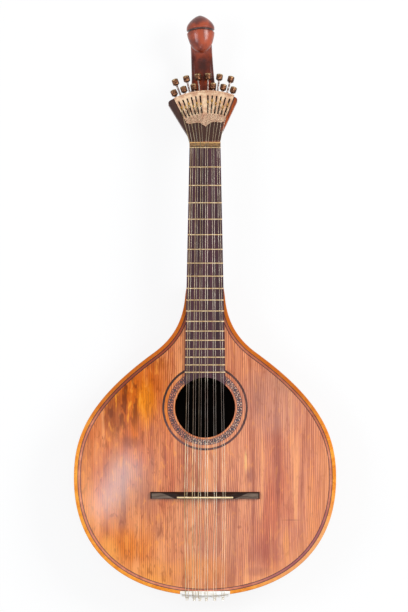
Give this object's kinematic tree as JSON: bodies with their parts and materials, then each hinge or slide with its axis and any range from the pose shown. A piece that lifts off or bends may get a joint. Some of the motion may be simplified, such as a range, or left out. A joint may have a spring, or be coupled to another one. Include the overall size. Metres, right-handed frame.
{
  "type": "portuguese guitar",
  "caption": "Pear-shaped plucked string instrument with a flat back, paired strings, a floating bridge and a fan-shaped screw tuning machine.",
  "frame": {"origin": "on the back's outer face, on the centre line, straight under the bridge saddle", "axes": "+Y along the strings from the bridge to the head, +Z out of the soundboard, +X to the treble side"},
  "size_m": [0.336, 0.7518, 0.0859],
  "materials": {
    "spruce": "amber varnish over spruce",
    "walnut": "glossy varnish",
    "cedar": "bare wood",
    "redwood": "glossy red-brown polish",
    "rosewood": "dark oiled wood",
    "bone": "polished bone",
    "mosaic": "wood mosaic under varnish",
    "nut_brass": "worn brass",
    "plate_metal": "worn pale plating with engraving",
    "rail_brass": "dull brass",
    "screw_bronze": "darkened bronze",
    "hook_brass": "worn brass",
    "string_steel": "drawn wire"
  },
  "bodies": {
    "instrument": {"soundboard": "spruce", "rosette_ring": "mosaic", "back": "walnut", "side_bass": "walnut", "side_treble": "walnut", "end_block": "cedar", "lining_top_bass": "cedar", "lining_back_bass": "cedar", "lining_top_treble": "cedar", "lining_back_treble": "cedar", "soundboard_brace_upper": "cedar", "soundboard_brace_lower": "cedar", "back_brace_upper": "cedar", "back_brace_lower": "cedar", "fingerboard": "rosewood", "neck": "redwood", "nut": "nut_brass", "bridge": "rosewood", "bridge_saddle": "bone", "fan_plate": "plate_metal", "fan_upper_rail": "rail_brass", "fan_lower_rail": "rail_brass", "tail_saddle": "bone", "tailpiece": "bone", "string_01": "string_steel", "string_02": "string_steel", "string_03": "string_steel", "string_04": "string_steel", "string_05": "string_steel", "string_06": "string_steel", "string_07": "string_steel", "string_08": "string_steel", "string_09": "string_steel", "string_10": "string_steel", "string_11": "string_steel", "string_12": "string_steel"},
    "tuner_01": {"tuner_screw_01": "screw_bronze"},
    "hook_01": {"string_hook_01": "hook_brass"},
    "tuner_02": {"tuner_screw_02": "screw_bronze"},
    "hook_02": {"string_hook_02": "hook_brass"},
    "tuner_03": {"tuner_screw_03": "screw_bronze"},
    "hook_03": {"string_hook_03": "hook_brass"},
    "tuner_04": {"tuner_screw_04": "screw_bronze"},
    "hook_04": {"string_hook_04": "hook_brass"},
    "tuner_05": {"tuner_screw_05": "screw_bronze"},
    "hook_05": {"string_hook_05": "hook_brass"},
    "tuner_06": {"tuner_screw_06": "screw_bronze"},
    "hook_06": {"string_hook_06": "hook_brass"},
    "tuner_07": {"tuner_screw_07": "screw_bronze"},
    "hook_07": {"string_hook_07": "hook_brass"},
    "tuner_08": {"tuner_screw_08": "screw_bronze"},
    "hook_08": {"string_hook_08": "hook_brass"},
    "tuner_09": {"tuner_screw_09": "screw_bronze"},
    "hook_09": {"string_hook_09": "hook_brass"},
    "tuner_10": {"tuner_screw_10": "screw_bronze"},
    "hook_10": {"string_hook_10": "hook_brass"},
    "tuner_11": {"tuner_screw_11": "screw_bronze"},
    "hook_11": {"string_hook_11": "hook_brass"},
    "tuner_12": {"tuner_screw_12": "screw_bronze"},
    "hook_12": {"string_hook_12": "hook_brass"}
  },
  "joints": [
    {"name": "tuner_01_turn", "type": "hinge", "parent": "instrument", "child": "tuner_01", "pos_m": [-0.03489, 0.50849, 0.05752], "axis": [0.4139, -0.8904, 0.1893], "range_deg": [-7325.5, 5304.6]},
    {"name": "hook_01_travel", "type": "slide", "parent": "instrument", "child": "hook_01", "axis": [-0.4139, 0.8904, -0.1893], "range_m": [-0.01221, 0.00884], "deforming": ["string_01"]},
    {"name": "tuner_02_turn", "type": "hinge", "parent": "instrument", "child": "tuner_02", "pos_m": [-0.02945, 0.5107, 0.05705], "axis": [0.3551, -0.9144, 0.1944], "range_deg": [-6315, 6315]},
    {"name": "hook_02_travel", "type": "slide", "parent": "instrument", "child": "hook_02", "axis": [-0.3551, 0.9144, -0.1944], "range_m": [-0.01052, 0.01052], "deforming": ["string_02"]},
    {"name": "tuner_03_turn", "type": "hinge", "parent": "instrument", "child": "tuner_03", "pos_m": [-0.02388, 0.51258, 0.05665], "axis": [0.2949, -0.9347, 0.1987], "range_deg": [-8083.2, 4546.8]},
    {"name": "hook_03_travel", "type": "slide", "parent": "instrument", "child": "hook_03", "axis": [-0.2949, 0.9347, -0.1987], "range_m": [-0.01347, 0.00758], "deforming": ["string_03"]},
    {"name": "tuner_04_turn", "type": "hinge", "parent": "instrument", "child": "tuner_04", "pos_m": [-0.0182, 0.5141, 0.05633], "axis": [0.2334, -0.9511, 0.2022], "range_deg": [-5304.6, 7325.5]},
    {"name": "hook_04_travel", "type": "slide", "parent": "instrument", "child": "hook_04", "axis": [-0.2334, 0.9511, -0.2022], "range_m": [-0.00884, 0.01221], "deforming": ["string_04"]},
    {"name": "tuner_05_turn", "type": "hinge", "parent": "instrument", "child": "tuner_05", "pos_m": [-0.01243, 0.51527, 0.05608], "axis": [0.1711, -0.9637, 0.2048], "range_deg": [-6946.2, 5683.3]},
    {"name": "hook_05_travel", "type": "slide", "parent": "instrument", "child": "hook_05", "axis": [-0.1711, 0.9637, -0.2048], "range_m": [-0.01158, 0.00947], "deforming": ["string_05"]},
    {"name": "tuner_06_turn", "type": "hinge", "parent": "instrument", "child": "tuner_06", "pos_m": [-0.0066, 0.51607, 0.05591], "axis": [0.108, -0.9724, 0.2067], "range_deg": [-5935.9, 6693.7]},
    {"name": "hook_06_travel", "type": "slide", "parent": "instrument", "child": "hook_06", "axis": [-0.108, 0.9724, -0.2067], "range_m": [-0.00989, 0.01116], "deforming": ["string_06"]},
    {"name": "tuner_07_turn", "type": "hinge", "parent": "instrument", "child": "tuner_07", "pos_m": [0.00372, 0.5166, 0.05579], "axis": [-0.0035, -0.9781, 0.2079], "range_deg": [-7578.1, 5052.1]},
    {"name": "hook_07_travel", "type": "slide", "parent": "instrument", "child": "hook_07", "axis": [0.0035, 0.9781, -0.2079], "range_m": [-0.01263, 0.00842], "deforming": ["string_07"]},
    {"name": "tuner_08_turn", "type": "hinge", "parent": "instrument", "child": "tuner_08", "pos_m": [0.00961, 0.5164, 0.05584], "axis": [-0.0671, -0.9759, 0.2074], "range_deg": [-8841, 3789.1]},
    {"name": "hook_08_travel", "type": "slide", "parent": "instrument", "child": "hook_08", "axis": [0.0671, 0.9759, -0.2074], "range_m": [-0.01473, 0.00632], "deforming": ["string_08"]},
    {"name": "tuner_09_turn", "type": "hinge", "parent": "instrument", "child": "tuner_09", "pos_m": [0.01547, 0.51583, 0.05596], "axis": [-0.1305, -0.9698, 0.2061], "range_deg": [-6567.6, 6062.5]},
    {"name": "hook_09_travel", "type": "slide", "parent": "instrument", "child": "hook_09", "axis": [0.1305, 0.9698, -0.2061], "range_m": [-0.01095, 0.0101], "deforming": ["string_09"]},
    {"name": "tuner_10_turn", "type": "hinge", "parent": "instrument", "child": "tuner_10", "pos_m": [0.02128, 0.51489, 0.05616], "axis": [-0.1934, -0.9597, 0.204], "range_deg": [-8335.9, 4294.3]},
    {"name": "hook_10_travel", "type": "slide", "parent": "instrument", "child": "hook_10", "axis": [0.1934, 0.9597, -0.204], "range_m": [-0.01389, 0.00716], "deforming": ["string_10"]},
    {"name": "tuner_11_turn", "type": "hinge", "parent": "instrument", "child": "tuner_11", "pos_m": [0.02702, 0.5136, 0.05643], "axis": [-0.2554, -0.9457, 0.201], "range_deg": [-5052.1, 7578.1]},
    {"name": "hook_11_travel", "type": "slide", "parent": "instrument", "child": "hook_11", "axis": [0.2554, 0.9457, -0.201], "range_m": [-0.00842, 0.01263], "deforming": ["string_11"]},
    {"name": "tuner_12_turn", "type": "hinge", "parent": "instrument", "child": "tuner_12", "pos_m": [0.03267, 0.51195, 0.05678], "axis": [-0.3165, -0.9279, 0.1972], "range_deg": [-7830.6, 4799.5]},
    {"name": "hook_12_travel", "type": "slide", "parent": "instrument", "child": "hook_12", "axis": [0.3165, 0.9279, -0.1972], "range_m": [-0.01305, 0.008], "deforming": ["string_12"]}
  ],
  "couplings": [
    {"joint": "tuner_01_turn", "follows": "hook_01_travel", "rad_per_m": 10472},
    {"joint": "tuner_02_turn", "follows": "hook_02_travel", "rad_per_m": 10472},
    {"joint": "tuner_03_turn", "follows": "hook_03_travel", "rad_per_m": 10472},
    {"joint": "tuner_04_turn", "follows": "hook_04_travel", "rad_per_m": 10472},
    {"joint": "tuner_05_turn", "follows": "hook_05_travel", "rad_per_m": 10472},
    {"joint": "tuner_06_turn", "follows": "hook_06_travel", "rad_per_m": 10472},
    {"joint": "tuner_07_turn", "follows": "hook_07_travel", "rad_per_m": 10472},
    {"joint": "tuner_08_turn", "follows": "hook_08_travel", "rad_per_m": 10472},
    {"joint": "tuner_09_turn", "follows": "hook_09_travel", "rad_per_m": 10472},
    {"joint": "tuner_10_turn", "follows": "hook_10_travel", "rad_per_m": 10472},
    {"joint": "tuner_11_turn", "follows": "hook_11_travel", "rad_per_m": 10472},
    {"joint": "tuner_12_turn", "follows": "hook_12_travel", "rad_per_m": 10472}
  ]
}
